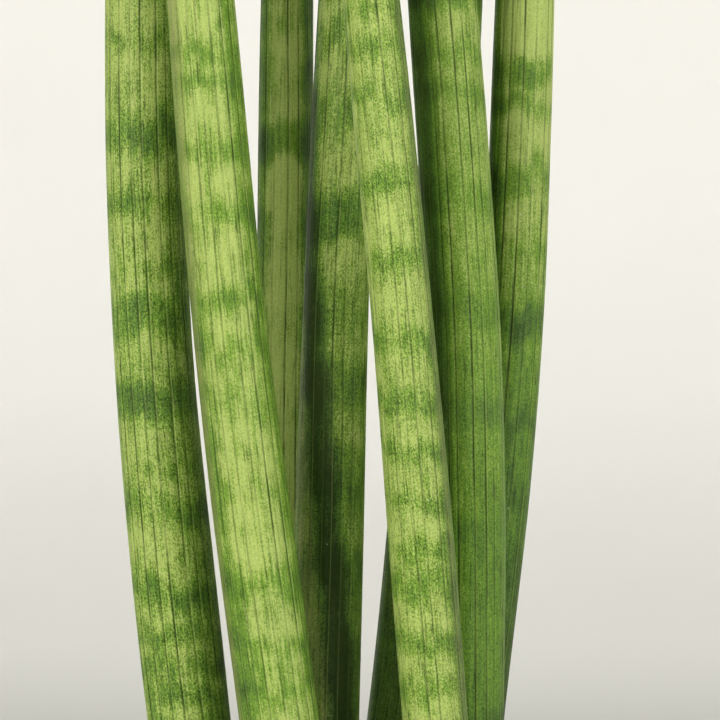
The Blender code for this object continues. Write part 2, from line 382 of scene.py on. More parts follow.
class LeafSkin(Shader):
    """Green skin in unrolled leaf coordinates, laid on in layers from the ground to the marks."""

    def __init__(self, settings):
        super().__init__("banded skin")
        self.settings = settings
        self.skin = self.attribute("skin", "Vector")
        self.specks = self.attribute("specks")
        self.speck = self.noise(self.skin, SPECK_SIZE, (1, 1, 0.75), roughness=0.6)
        self.streak = self.noise(self.skin, STREAK_SIZE, (1, 1, 0.06))
        self.mottle = self.noise(self.skin, MOTTLE_SIZE, (1, 1, 0.6), detail=3, roughness=0.6)
        self.patch = self.noise(self.skin, PATCH_SIZE, (1, 1, 0.4))

    def ground(self):
        """A light ground that darkens in clouds, in bands and in painted shade, and is broken up by specks.
        """
        clouds = (self.swing(self.mottle, 0.6), self.swing(self.patch, 0.35), self.swing(self.streak, 0.6))
        clouds = self.times(self.total(*clouds), self.attribute("mottling"))
        self.tone = self.total(0.2, clouds, self.times(self.attribute("band"), 0.5))
        self.darkness = self.total(self.tone, self.times(self.swing(self.speck, 1.3), self.specks))
        stops = (
            (0.0, shaded(self.settings.light_colour, 1.12)),
            (0.22, self.settings.light_colour),
            (0.46, self.settings.ground_colour),
            (0.72, self.settings.band_colour),
            (1.0, self.settings.deep_colour),
        )
        return self.ramp(self.darkness, stops)

    def flecks(self, colour):
        """Separate dark flecks, more of them where the ground is dark."""
        fleck = self.noise(self.skin, FLECK_SIZE, (1, 1, 0.85), detail=1)
        often = self.times(self.between(self.tone, 0.1, 0.6, 0.2, 0.72), self.specks)
        fleck = self.times(self.between(fleck, 0.54, 0.61), often)
        return self.mixed(fleck, colour, self.settings.deep_colour)

    def lines(self, colour):
        """Broken dark lines in the grooves, finer threads between them and a painted highlight on the lips
        beside them.
        """
        broken = self.between(self.total(self.streak, self.swing(self.mottle, 0.8)), 0.34, 0.62, 0.6, 1.0)
        line = self.between(self.attribute("across"), *LINE_WIDTHS, 0.95, 0.0)
        line = self.times(self.times(line, self.attribute("groove")), broken)
        colour = self.mixed(line, colour, self.settings.deep_colour)
        fibre = self.noise(self.skin, FIBRE_SIZE, (1, 1, 0.022), detail=1)
        thread = self.between(self.math("ABSOLUTE", self.swing(fibre, 1.0)), 0.004, 0.022, 1.0, 0.0)
        self.thread = self.times(thread, self.between(self.mottle, 0.40, 0.60, 0.15, 0.6))
        colour = self.mixed(self.thread, colour, self.settings.deep_colour)
        # painted highlight: the lip beside each groove lightened where light would catch it
        return self.mixed(self.times(self.attribute("ridge"), 0.28), colour, self.settings.light_colour)

    def dry_rims(self, colour):
        """Tan strips along the leaf, frayed by the specks and streaks."""
        frayed = self.total(self.mottle, self.swing(self.speck, 1.8), self.swing(self.streak, 1.8))
        self.dry = self.times(self.attribute("rim"), self.between(frayed, 0.2, 0.8, 1.0, 0.25))
        return self.mixed(self.dry, colour, self.settings.rim_colour)

    def pepper(self, colour):
        """Fine pepper where the skin is light and isn't dry."""
        grains = self.noise(self.skin, PEPPER_SIZE, (1, 1, 0.9), roughness=0.7)
        plain = self.between(self.math("SUBTRACT", self.darkness, self.dry), -0.1, 0.4, 0.75, 0.1)
        grains = self.times(self.between(grains, 0.42, 0.66), plain)
        return self.mixed(grains, colour, PEPPER_TINT, blend="MULTIPLY")

    def wax_and_sheen(self, colour):
        """Paler scuffs of wax, and a thin pale haze that is painted sheen."""
        wax_and_sheen = self.noise(self.skin, WAX_SIZE, (1, 1, 0.6), detail=4, roughness=0.7)
        self.scuff = self.between(wax_and_sheen, 0.62, 0.78, 0.0, 0.4)
        # painted sheen: a faint pale haze where light would glance off the waxy skin
        painted_sheen = self.between(self.total(self.patch, self.swing(wax_and_sheen, 0.5)), 0.35, 0.7, 0.0, 0.05)
        return self.mixed(self.total(self.scuff, painted_sheen), colour, WAX_AND_SHEEN_COLOUR)

    def marks(self, colour):
        """Scattered pale and brown pin marks."""
        colour = self.mixed(self.pin_marks(PALE_MARK_SPACING, 0.045, 0.5), colour, PALE_MARK_COLOUR)
        return self.mixed(self.pin_marks(BROWN_MARK_SPACING, 0.035, 0.7), colour, BROWN_MARK_COLOUR)

    def pin_marks(self, spacing, size, strength):
        """Small marks at the middles of some of the cells that are about spacing across."""
        cells = self.cells(self.skin, spacing)
        chosen = self.between(self.height_of(cells["Color"]), 0.55, 0.6)
        near = self.between(cells["Distance"], size * 0.6, size, strength, 0.0)
        return self.times(near, chosen)

    def ends(self, colour):
        """Pale skin and a stain of mix at the foot, and dry tan towards the tip."""
        height = self.height_of(self.skin)
        foot = self.total(height, self.swing(self.mottle, 0.02))
        pale = self.between(foot, 0.0, FOOT_PALE_TO, 0.9, 0.0)
        colour = self.mixed(pale, colour, self.settings.foot_colour)
        foot = self.total(height, self.swing(self.mottle, 0.014))
        colour = self.mixed(self.between(foot, 0.0, FOOT_STAIN_TO, 0.75, 0.0), colour, STAIN_COLOUR)
        tip = self.total(self.attribute("tip"), self.swing(self.mottle, 0.3))
        return self.mixed(self.between(tip, TIP_BROWN_FROM, 1.0), colour, self.settings.rim_colour)


def leaf_skin(settings):
    """The skin with all its layers, a low waxy gloss and its finest relief."""
    skin = LeafSkin(settings)
    colour = skin.ground()
    for layer in (skin.flecks, skin.lines, skin.dry_rims, skin.pepper, skin.wax_and_sheen, skin.marks, skin.ends):
        colour = layer(colour)
    rough = skin.total(settings.roughness, skin.swing(skin.speck, 0.2), skin.times(skin.scuff, 0.5))
    relief = skin.total(skin.speck, skin.times(skin.streak, 2.0), skin.times(skin.thread, -1.5))
    return skin.finished(colour, rough, relief, 0.05 * MM, gloss=0.16)


def spine_material(settings):
    """Hard, dry brown of the leaf's point."""
    shader = Shader("hard spine")
    fibre = shader.noise(shader.object_place(), 0.4 * MM, (1, 1, 0.15), detail=3)
    colour = shader.ramp(fibre, ((0.3, settings.spine_colour), (0.75, (0.22, 0.13, 0.065))))
    return shader.finished(colour, 0.5, fibre, 0.08 * MM)


# Mix, clay and backdrop

DAMP_HEIGHTS = (12 * MM, 50 * MM)
BLOOM_HEIGHTS = (70 * MM, 115 * MM)
# How far from the middle the painted pool of light on the floor ends, and where the darker floor, partly
# painted shade, turns into the wall
PAINTED_LIGHT_POOL = (0.6, 2.4)
FLOOR_SHADE_TO_WALL = (2.4, 6.0)


def peat_material(settings):
    """Dark peat in clumps, with paler fibres and bits of bark."""
    shader = Shader("peat")
    place = shader.object_place()
    fibre = shader.noise(place, 1.1 * MM, detail=5, roughness=0.7)
    clump = shader.noise(place, 7 * MM, detail=3)
    pale = shaded(settings.peat_colour, 3.4)
    stops = ((0.3, settings.peat_colour), (0.62, pale), (0.8, settings.bark_colour))
    colour = shader.ramp(shader.total(fibre, shader.swing(clump, 0.5)), stops)
    return shader.finished(colour, 0.95, fibre, 0.6 * MM)


def bark_material(settings):
    """Brown bark with darker and paler fibres."""
    shader = Shader("bark chip")
    place = shader.object_place()
    bark = settings.bark_colour
    fibre = shader.noise(place, 0.9 * MM, (1, 0.35, 1), detail=4, roughness=0.65)
    patch = shader.noise(place, 6 * MM)
    stops = ((0.25, shaded(bark, 0.35)), (0.55, bark), (0.85, shaded(bark, 2.1)))
    colour = shader.ramp(shader.total(fibre, shader.swing(patch, 0.8)), stops)
    return shader.finished(colour, 0.85, fibre, 0.4 * MM)


def grit_material(settings):
    """Off-white, porous grains with some dust on them."""
    shader = Shader("perlite grain")
    place = shader.object_place()
    pores = shader.noise(place, 0.7 * MM, detail=3, roughness=0.7)
    dust = shader.noise(place, 4 * MM)
    stops = ((0.2, (0.40, 0.36, 0.30)), (0.5, settings.grit_colour), (0.9, (0.85, 0.84, 0.80)))
    colour = shader.ramp(shader.total(pores, shader.swing(dust, 0.6)), stops)
    return shader.finished(colour, 0.9, pores, 0.3 * MM)


def clay_material(settings):
    """Fired clay with turning lines, small pores, a pale mineral bloom and a damp foot."""
    shader = Shader("fired clay")
    place = shader.object_place()
    height = shader.height_of(place)
    clay = settings.clay_colour
    grain = shader.noise(place, 0.8 * MM, detail=4, roughness=0.7)
    cloud = shader.noise(place, 22 * MM, detail=4, roughness=0.6)
    turning = shader.noise(place, 1.6 * MM, (0.02, 0.02, 1), detail=3)
    wash = shader.noise(place, 12 * MM, (1, 1, 0.35), detail=5, roughness=0.65)
    tone = shader.total(grain, shader.swing(cloud, 0.8), shader.swing(turning, 0.5))
    colour = shader.ramp(tone, ((0.25, shaded(clay, 0.72)), (0.5, clay), (0.78, shaded(clay, 1.28))))
    damp = shader.between(shader.total(height, shader.swing(wash, 0.06)), *DAMP_HEIGHTS, 0.55, 0.0)
    colour = shader.mixed(damp, colour, settings.damp_colour)
    line = shader.between(shader.total(height, shader.swing(wash, 0.05)), *BLOOM_HEIGHTS, 0.0, 0.30)
    bloom = shader.times(shader.between(wash, 0.46, 0.70), shader.total(line, 0.22))
    colour = shader.mixed(bloom, colour, settings.bloom_colour)
    pores = shader.between(shader.cells(place, 3.2 * MM)["Distance"], 0.05, 0.12, 1.0, 0.0)
    colour = shader.mixed(shader.times(pores, 0.5), colour, settings.damp_colour)
    relief = shader.total(grain, shader.times(turning, 1.4), shader.times(pores, -1.5))
    return shader.finished(colour, shader.total(0.86, shader.swing(grain, 0.15)), relief, 0.18 * MM)


def backdrop_material(settings):
    """Warm white that darkens a little from the wall to the floor, partly as painted shade, with a painted
    pool of light on the floor round the plant.
    """
    shader = Shader("backdrop")
    place = shader.object_place()
    wall = settings.wall_colour
    colour = shader.ramp(shader.noise(place, 0.9), ((0.3, wall), (0.7, shaded(wall, 1.02))))
    level = shader.stretched(place, (1, 1, 0))
    far = shader.node("ShaderNodeVectorMath", {0: level}, operation="LENGTH").outputs["Value"]
    start, end = FLOOR_SHADE_TO_WALL
    # the floor's darker colour stands partly for painted shade
    floor = shader.math("DIVIDE", shader.math("SUBTRACT", end, far), end - start, clamp=True)
    colour = shader.mixed(floor, colour, settings.floor_colour)
    # a painted pool of light: the floor round the plant made lighter
    near = shader.between(far, *PAINTED_LIGHT_POOL, 1.0, 0.0)
    colour = shader.mixed(near, colour, shaded(settings.floor_colour, 1.2))
    return shader.finished(colour, 0.95, gloss=0.1)


# Modelling helpers

def start_piece():
    """Leaves edit mode and deselects everything, so that the next operator acts on the new piece alone."""
    if bpy.context.mode != "OBJECT":
        bpy.ops.object.mode_set(mode="OBJECT")
    bpy.ops.object.select_all(action="DESELECT")


def select_only(piece):
    start_piece()
    piece.select_set(True)
    bpy.context.view_layer.objects.active = piece


def edit_all():
    """Enters edit mode with the whole piece selected."""
    bpy.ops.object.mode_set(mode="EDIT")
    bpy.ops.mesh.select_all(action="SELECT")


def end_edit(inside=False):
    """Points every face out, or in where the inside is seen, and leaves edit mode."""
    bpy.ops.mesh.select_all(action="SELECT")
    bpy.ops.mesh.normals_make_consistent(inside=inside)
    bpy.ops.object.mode_set(mode="OBJECT")


def draw_out(outline):
    """Extrudes the selected round edge from the first (radius, height) of an outline through the others."""
    radius, height = outline[0]
    for next_radius, next_height in outline[1:]:
        rise = (0, 0, next_height - height)
        bpy.ops.mesh.extrude_edges_move(TRANSFORM_OT_translate={"value": rise})
        grow = next_radius / radius
        bpy.ops.transform.resize(value=(grow, grow, 1), center_override=(0, 0, next_height))
        radius, height = next_radius, next_height


def swept_disc(sides, outline):
    """A disc at height 0 whose edge is drawn out along the outline, left in edit mode."""
    start_piece()
    bpy.ops.mesh.primitive_circle_add(vertices=sides, radius=outline[0][0], fill_type="NGON")
    edit_all()
    bpy.ops.mesh.region_to_loop()
    draw_out(outline)
    return bpy.context.active_object


def check_closed(mesh):
    """Stops the operator where a piece's mesh has a gap or a stray face."""
    edges = np.empty(len(mesh.loops), np.int32)
    mesh.loops.foreach_get("edge_index", edges)
    if (np.bincount(edges, minlength=len(mesh.edges)) != 2).any():
        raise RuntimeError(mesh.name + " isn't closed")


def finish_piece(piece, name, material, stands_for=()):
    """Names a piece, puts its place into its mesh and ties it to the frame."""
    bpy.ops.object.transform_apply(location=True, rotation=True, scale=True)
    piece.name = name
    piece.data.name = name
    check_closed(piece.data)
    piece.data.materials.clear()
    piece.data.materials.append(material)
    if stands_for:
        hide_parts(*stands_for)
    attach(piece, BODY)


def vertex_places(mesh):
    places = np.empty(len(mesh.vertices) * 3, np.float32)
    mesh.vertices.foreach_get("co", places)
    return places.reshape(-1, 3).astype(float)


def set_vertex_places(mesh, places):
    mesh.vertices.foreach_set("co", np.ascontiguousarray(places, np.float32).ravel())
    mesh.update()


def set_attribute(mesh, name, values):
    """Keeps one number or one vector for each vertex, for the materials to read."""
    kind, field = ("FLOAT", "value") if values.ndim == 1 else ("FLOAT_VECTOR", "vector")
    mesh.attributes.new(name, kind, "POINT").data.foreach_set(field, values.astype(np.float32).ravel())


def smooth_through(at, places, wanted):
    """Values at the wanted places of a smooth curve through rows of values (a cubic with even slopes)."""
    slopes = np.gradient(places, at, axis=0)
    span = np.clip(np.searchsorted(at, wanted, side="right") - 1, 0, len(at) - 2)
    width = (at[span + 1] - at[span])[:, None]
    t = ((wanted - at[span]) / width[:, 0])[:, None]
    return (
        (2 * t**3 - 3 * t**2 + 1) * places[span]
        + (t**3 - 2 * t**2 + t) * width * slopes[span]
        + (3 * t**2 - 2 * t**3) * places[span + 1]
        + (t**3 - t**2) * width * slopes[span + 1]
    )


# Leaves

# Each groove's columns of faces: their offsets from its line, and their depths as a share of its depth
GROOVE_OFFSETS = (-0.42 * MM, -0.17 * MM, 0.0, 0.17 * MM, 0.42 * MM, 0.64 * MM)
GROOVE_DEPTHS = (-0.15, 0.45, 1.0, 0.45, -0.25, -0.15)
BETWEEN_GROOVES = (0.4, 0.66)
RIB_BULGE = 0.08 * MM
GROOVE_SPACINGS = (0.68, 1.32)
GROOVE_STRENGTHS = (0.45, 0.6, 0.75, 0.9, 1.0)
GROOVE_WANDER = 0.3 * MM
WANDER_LENGTHS = (0.12, 0.2)
GROOVE_FADING_LENGTH = 90 * MM
WAVE_DEPTH = 0.12 * MM
WAVE_LENGTH = 130 * MM
SOLID_SIDES = 24
OUTLINE_TURNS = 96
FULL_FROM = 60 * MM
TIP_LENGTH = 45 * MM
SPINE_LENGTH = 8 * MM
# Bands above and below those of the photograph, in millimetres but for the strengths
DRAWN_BAND_WIDTHS = (3.5, 9)
DRAWN_BAND_GAPS = (9, 19)
DRAWN_BAND_STRENGTHS = (0.3, 0.85)
LOWEST_BAND = 8 * MM
BAND_SOFTNESS = 1.0 * MM
STRIP_SHIFT = 1.0 * MM
RIM_SOFTNESS = math.radians(11)
# Softness of the edges of the strips of painted shade
PAINTED_SHADE_SOFTNESS = math.radians(26)
PLAIN_GROUND = 0.2
GROUND_EASE = 60 * MM

Columns = namedtuple("Columns", "turns away grooves depths ridges bulges strips")


class LeafForm:
    """One leaf's shape as the frame holds it: the line of its middle and its reach in each direction."""

    def __init__(self, name):
        points = np.unique(np.round(vertex_places(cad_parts[name].data), 6), axis=0)
        levels = np.unique(np.round(points[:, 2], 4))
        rings = [points[abs(points[:, 2] - level) < 1e-4] for level in levels]
        self.heights = levels
        self.middles = np.array([self.centroid(ring) for ring in rings])
        self.turns = np.arange(OUTLINE_TURNS) / OUTLINE_TURNS * FULL_TURN
        self.reaches = np.array([self.reach(ring, middle) for ring, middle in zip(rings, self.middles)])
        self.foot_radius = float(self.reaches[np.searchsorted(levels, MIX_LEVEL + FULL_FROM)].mean())
        self.foot, self.tip = levels[0], levels[-1]
        self.trims = LEAF_TRIMS.get(name, ())

    @staticmethod
    def centroid(ring):
        """Middle of the area inside a ring of points."""
        flat = ring[:, :2] - ring[:, :2].mean(axis=0)
        flat = flat[np.argsort(np.arctan2(flat[:, 1], flat[:, 0]))]
        after = np.roll(flat, -1, axis=0)
        cross = flat[:, 0] * after[:, 1] - after[:, 0] * flat[:, 1]
        return ring[:, :2].mean(axis=0) + ((flat + after) * cross[:, None]).sum(axis=0) / (3 * cross.sum())

    def reach(self, ring, middle):
        """How far the ring lies from its middle in each direction, with its ribs smoothed away."""
        flat = ring[:, :2] - middle
        directions = np.arctan2(flat[:, 1], flat[:, 0]) % FULL_TURN
        order = np.argsort(directions)
        lengths = np.hypot(flat[:, 0], flat[:, 1])[order]
        reach = np.interp(self.turns, directions[order], lengths, period=FULL_TURN)
        rib = OUTLINE_TURNS // SOLID_SIDES
        window = np.hanning(2 * rib + 3)[1:-1]
        around = np.concatenate([reach[-rib:], reach, reach[:rib]])
        return np.convolve(around, window / window.sum(), mode="valid")

    def at(self, heights, turns):
        """Middles at the heights, and reaches at the heights (rows) and the turns, alike or by row."""
        middles = smooth_through(self.heights, self.middles, heights)
        reaches = smooth_through(self.heights, self.reaches, heights)
        for height, spread, shift, growth in self.trims:
            share = np.exp(-(((heights - MIX_LEVEL) / MM - height) / spread) ** 2)
            middles[:, 0] += share * shift * MM
            reaches += share[:, None] * growth * MM
        place = (turns % FULL_TURN) / FULL_TURN * OUTLINE_TURNS
        low = np.floor(place).astype(int)
        share = place - low
        row = np.arange(len(heights))[:, None]
        near = reaches[row, low % OUTLINE_TURNS]
        far = reaches[row, (low + 1) % OUTLINE_TURNS]
        return middles, near * (1 - share) + far * share


def leaf_columns(form, settings, draw):
    """The columns of faces round a leaf: six close together at each groove and two on the rib beyond it.

    For each column it gives its turn, distance from a groove, groove's strength, depth, painted lip
    highlight, rib's bulge and strip, the first and the last column being the two sides of the seam."""
    count = round(FULL_TURN * form.foot_radius / settings.groove_spacing)
    steps = np.array([draw.uniform(*GROOVE_SPACINGS) for _ in range(count)])
    lines = np.concatenate([[0.0], np.cumsum(steps)]) / steps.sum() * FULL_TURN
    strengths = [draw.choice(GROOVE_STRENGTHS) for _ in range(count)]
    columns = []
    for number, strength in enumerate(strengths):
        for offset, depth in zip(GROOVE_OFFSETS, GROOVE_DEPTHS):
            strip = (number if offset > 0 else number - 1) % count
            # the painted highlight on the lip beside the groove
            ridge = strength if offset == GROOVE_OFFSETS[-2] else 0.0
            turn = lines[number] + offset / form.foot_radius
            columns.append((turn, abs(offset), strength, depth * strength, ridge, 0.0, strip))
        gap = lines[number + 1] - lines[number]
        for share in BETWEEN_GROOVES:
            away = min(share, 1 - share) * gap * form.foot_radius
            columns.append((lines[number] + gap * share, away, strength, 0.0, 0.0, 1.0, number))
    columns.append((columns[0][0] + FULL_TURN, *columns[0][1:]))
    return Columns(*np.array(columns).T)


def leaf_heights(form, settings):
    """Heights of the rows: close together where the photograph shows the bands, wider elsewhere."""
    top = form.tip - SPINE_LENGTH
    low, high = (MIX_LEVEL + height for height in SEEN_HEIGHTS)
    wide = 2.6 * settings.row_height
    parts = (
        np.linspace(form.foot, low, round((low - form.foot) / wide), endpoint=False),
        np.linspace(low, high, round((high - low) / settings.row_height), endpoint=False),
        np.linspace(high, top, round((top - high) / wide) + 1),
    )
    return np.concatenate(parts)


def leaf_bands(name, draw):
    """A leaf's bands from foot to tip: those that the photograph shows, and drawn ones above and below."""
    bands = [tuple(part * scale for part, scale in zip(band, (MM, MM, 1))) for band in SEEN_BANDS[name]]
    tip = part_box(name)[1].z - MIX_LEVEL
    for low, high in ((LOWEST_BAND, SEEN_HEIGHTS[0]), (SEEN_HEIGHTS[1], tip)):
        height = low + draw.uniform(4, 12) * MM
        while height < high:
            width = draw.uniform(*DRAWN_BAND_WIDTHS) * MM
            bands.append((height, width, draw.uniform(*DRAWN_BAND_STRENGTHS)))
            height += width / 2 + draw.uniform(*DRAWN_BAND_GAPS) * MM
    return bands


def band_darkness(bands, heights, turns, strips, draw):
    """Darkness of the bands at each height (rows) and column, a little shifted from groove to groove."""
    darkness = np.zeros(turns.shape)
    count = strips.max() + 1
    for middle, width, strength in bands:
        shifts = np.array([draw.gauss(0, 1) for _ in range(count)]) * STRIP_SHIFT
        strengths = np.array([draw.uniform(0.7, 1.1) for _ in range(count)]) * strength
        lean = draw.uniform(-1.6, 1.6) * MM
        phase = draw.uniform(0, FULL_TURN)
        drift = 1 + 0.22 * np.sin(2 * turns + 3 * phase)
        centre = middle + shifts[strips] + lean * np.sin(turns + phase)
        away = np.abs(heights[:, None] - centre) - width / 2
        shade = drift * strengths[strips] / (1 + np.exp(away / BAND_SOFTNESS))
        darkness = np.maximum(darkness, shade)
    return darkness


def strip_shades(strips, heights, turns, softness):
    """How strongly each height (rows) and column belongs to lengthwise strips, which may wind a little."""
    drop = (sum(SEEN_HEIGHTS) / 2 - np.clip(heights, *SEEN_HEIGHTS)) / (100 * MM)
    shade = np.zeros((len(heights), len(turns)))
    for direction, width, strength, winding in strips:
        middle = np.radians(direction + winding * drop)[:, None]
        away = np.abs((turns - middle + math.pi) % (2 * math.pi) - math.pi)
        inside = (math.radians(width) / 2 - away) / softness + 0.5
        shade = np.maximum(shade, strength * np.clip(inside, 0, 1))
    return shade


def roll_skin(form, settings, columns, heights, draw):
    """Places of a sheet of skin rolled round the leaf's middle with its grooves sunk, by row and column.

    It also gives the turn at each place, how far the leaf has thinned at each height, and how the
    grooves fade along it."""
    above = heights[:, None] - MIX_LEVEL
    swing = above * FULL_TURN / draw.uniform(*WANDER_LENGTHS) + draw.uniform(0, 6)
    turns = columns.turns + GROOVE_WANDER / form.foot_radius * np.sin(swing)
    middles, reaches = form.at(heights, turns)
    thinning = np.clip(reaches.mean(axis=1) / form.foot_radius, 0, 1)[:, None]
    fading = 0.75 + 0.25 * np.sin(above * FULL_TURN / GROOVE_FADING_LENGTH + columns.turns * 5)
    relief = settings.groove_depth * columns.depths * fading - RIB_BULGE * columns.bulges
    waves = WAVE_DEPTH * np.sin(2 * turns + above * FULL_TURN / WAVE_LENGTH)
    reaches = reaches - (relief - waves) * thinning
    across = middles[:, :1] + reaches * np.cos(turns)
    back = middles[:, 1:] + reaches * np.sin(turns)
    sheet = np.stack(np.broadcast_arrays(across, back, heights[:, None]), axis=-1)
    return sheet, turns, thinning, fading


def skin_marks(name, form, columns, heights, turns, thinning, fading, draw):
    """What the skin's material reads, by the attribute's name: a number, or numbers by row and column."""
    ground_levels_with_painted_light, mottling, specks, dry_rims, painted_shade_strips = LEAF_LOOKS[name]
    above = heights - MIX_LEVEL
    low, high = SEEN_HEIGHTS
    ground_heights = (low - GROUND_EASE, low, high, high + GROUND_EASE)
    # ground darkness by height: partly the leaf's own green, partly painted shade and painted light
    ground = np.interp(above, ground_heights, (PLAIN_GROUND, *ground_levels_with_painted_light, PLAIN_GROUND))
    bands = band_darkness(leaf_bands(name, draw), above, turns, columns.strips.astype(int), draw)
    # strips of painted shade: the shade and cast shadows of the neighbouring leaves, painted into the skin
    dark = strip_shades(painted_shade_strips, above, columns.turns, PAINTED_SHADE_SOFTNESS)
    round_x = form.foot_radius * np.cos(columns.turns)
    round_y = form.foot_radius * np.sin(columns.turns)
    return {
        "skin": np.stack(np.broadcast_arrays(round_x, round_y, above[:, None]), axis=-1),
        # the band attribute adds the painted shade of the ground levels and strips to the leaf's own bands
        "band": bands + ground[:, None] + dark,
        "mottling": mottling,
        "specks": specks,
        "across": columns.away * thinning,
        "groove": columns.grooves * fading,
        # painted highlight on the lips beside the grooves
        "ridge": columns.ridges,
        "rim": strip_shades(dry_rims, above, columns.turns, RIM_SOFTNESS),
        "tip": np.clip(1 - (form.tip - heights[:, None]) / TIP_LENGTH, 0, 1),
    }


def grow_leaf(name, settings, material):
    """Rolls a sheet of skin round the leaf's middle, sinks its grooves and closes its seam, foot and tip."""
    draw = random.Random(name)
    form = LeafForm(name)
    columns = leaf_columns(form, settings, draw)
    heights = leaf_heights(form, settings)
    wide = len(columns.turns) - 1
    tall = len(heights) - 1
    start_piece()
    bpy.ops.mesh.primitive_grid_add(x_subdivisions=wide, y_subdivisions=tall, size=1)
    leaf = bpy.context.active_object
    flat = vertex_places(leaf.data)
    column = np.rint((flat[:, 0] + 0.5) * wide).astype(int)
    row = np.rint((flat[:, 1] + 0.5) * tall).astype(int)
    sheet, turns, thinning, fading = roll_skin(form, settings, columns, heights, draw)
    set_vertex_places(leaf.data, sheet[row, column])
    marks = skin_marks(name, form, columns, heights, turns, thinning, fading, draw)
    for attribute, values in marks.items():
        values = np.asarray(values)
        values = np.broadcast_to(values, turns.shape + values.shape[2:])
        set_attribute(leaf.data, attribute, values[row, column])

    edit_all()
    bpy.ops.mesh.remove_doubles(threshold=1e-6)
    bpy.ops.mesh.select_all(action="DESELECT")
    bpy.ops.mesh.select_non_manifold(extend=False, use_wire=False, use_multi_face=False)
    bpy.ops.mesh.edge_face_add()
    end_edit()
    bpy.ops.object.shade_smooth()
    finish_piece(leaf, name + "_skin", material, stands_for=(name,))


class SNAKEPLANT_OT_leaves(bpy.types.Operator):
    """Grows the grooved and banded skin of every leaf"""

    bl_idname = "snake_plant.leaves"
    bl_label = "Leaves"

    def execute(self, context):
        settings = context.scene.snake_plant_leaf
        material = leaf_skin(settings)
        for name in LEAF_NAMES:
            grow_leaf(name, settings, material)
        return {"FINISHED"}


# Spines

SPINE_SIDES = 20
SPINE_RINGS = 7
SPINE_REACH = 11.5 * MM
SPINE_SPACING = 1.15
SPINE_CURVE = 1.6
SPINE_FIT = 0.97
SPINE_POINT = 0.12 * MM


def grow_spine(name, material):
    """A hard point that grows out of the leaf's tip, drawn up ring by ring from a small disc."""
    form = LeafForm(name)
    turns = np.arange(SPINE_SIDES) / SPINE_SIDES * FULL_TURN
    heights = form.tip - SPINE_REACH * (1 - np.linspace(0, 1, SPINE_RINGS + 1)) ** SPINE_SPACING
    middles, reaches = form.at(heights, turns)
    place = Vector((*middles[0], heights[0]))
    widest = reaches[0].mean()
    width = widest
    start_piece()
    bpy.ops.mesh.primitive_circle_add(vertices=SPINE_SIDES, radius=widest, location=place)
    spine = bpy.context.active_object
    edit_all()
    bpy.ops.mesh.edge_face_add()
    for number in range(1, SPINE_RINGS + 1):
        next_place = Vector((*middles[number], heights[number]))
        narrowing = 1 - (number / SPINE_RINGS) ** SPINE_CURVE
        next_width = max(widest * narrowing * SPINE_FIT, SPINE_POINT)
        bpy.ops.mesh.extrude_region_move(TRANSFORM_OT_translate={"value": next_place - place})
        grow = next_width / width
        bpy.ops.transform.resize(value=(grow, grow, 1), center_override=next_place)
        width = next_width
        place = next_place
    end_edit()
    bpy.ops.object.shade_smooth()
    finish_piece(spine, name + "_spine", material)


class SNAKEPLANT_OT_spines(bpy.types.Operator):
    """Puts the hard brown point on every leaf"""

    bl_idname = "snake_plant.spines"
    bl_label = "Spines"

    def execute(self, context):
        material = spine_material(context.scene.snake_plant_leaf)
        for name in LEAF_NAMES:
            grow_spine(name, material)
        return {"FINISHED"}


# Potting mix

MIX_ROWS = 170
MIX_EDGE = 63.8 * MM
MIX_LIP = 6 * MM
MIX_FLOOR_RADIUS = 45.8 * MM
MIX_FLOOR = 9.3 * MM
LUMP_SIZES = ((16 * MM, 1.6 * MM), (5 * MM, 1.1 * MM), (1.8 * MM, 0.55 * MM))


def mix_height(x, y):
    """Height of the mix's rough surface above the pot's underside."""
    height = MIX_LEVEL
    for size, depth in LUMP_SIZES:
        height += depth * noise.noise(Vector((x / size, y / size, size * 1000)))
    return height


def build_mix(settings):
    """A square sheet drawn into a round one, roughened, and closed with a side and a floor."""
    start_piece()
    bpy.ops.mesh.primitive_grid_add(x_subdivisions=MIX_ROWS, y_subdivisions=MIX_ROWS, size=2)
    mix = bpy.context.active_object
    places = vertex_places(mix.data)
    longest = np.abs(places[:, :2]).max(axis=1)
    length = np.hypot(places[:, 0], places[:, 1])
    places[:, :2] *= (MIX_EDGE * longest / np.maximum(length, 1e-9))[:, None]
    places[:, 2] = [mix_height(x, y) for x, y in places[:, :2]]
    set_vertex_places(mix.data, places)
    edit_all()
    bpy.ops.mesh.region_to_loop()
    bpy.ops.mesh.extrude_edges_move(TRANSFORM_OT_translate={"value": (0, 0, -MIX_LIP)})
    level = MIX_LEVEL - MIX_LIP
    bpy.ops.transform.resize(value=(1, 1, 0), center_override=(0, 0, level))
    draw_out(((MIX_EDGE, level), (MIX_FLOOR_RADIUS, MIX_FLOOR)))
    bpy.ops.mesh.edge_face_add()
    end_edit()
    bpy.ops.object.shade_smooth_by_angle(angle=math.radians(60))
    finish_piece(mix, "potting_mix", peat_material(settings), stands_for=("soil",))


class SNAKEPLANT_OT_potting_mix(bpy.types.Operator):
    """Fills the pot with rough potting mix"""

    bl_idname = "snake_plant.potting_mix"
    bl_label = "Potting Mix"

    def execute(self, context):
        build_mix(context.scene.snake_plant_mix)
        return {"FINISHED"}


def leaf_feet():
    """Where each leaf leaves the mix, as its middle and radius."""
    feet = []
    for name in LEAF_NAMES:
        form = LeafForm(name)
        middles, reaches = form.at(np.array([MIX_LEVEL]), form.turns)
        feet.append((Vector(middles[0]), float(reaches.max())))
    return feet


def scattered_places(count, draw, reach):
    """Places on the mix, clear of the leaves' feet and the pot's wall."""
    feet = leaf_feet()
    places = []
    while len(places) < count:
        radius = (MIX_EDGE - reach) * math.sqrt(draw.random())
        turn = draw.uniform(0, FULL_TURN)
        place = Vector((radius * math.cos(turn), radius * math.sin(turn)))
        if all((place - foot).length > size + reach * 0.7 for foot, size in feet):
            places.append(place)
    return places


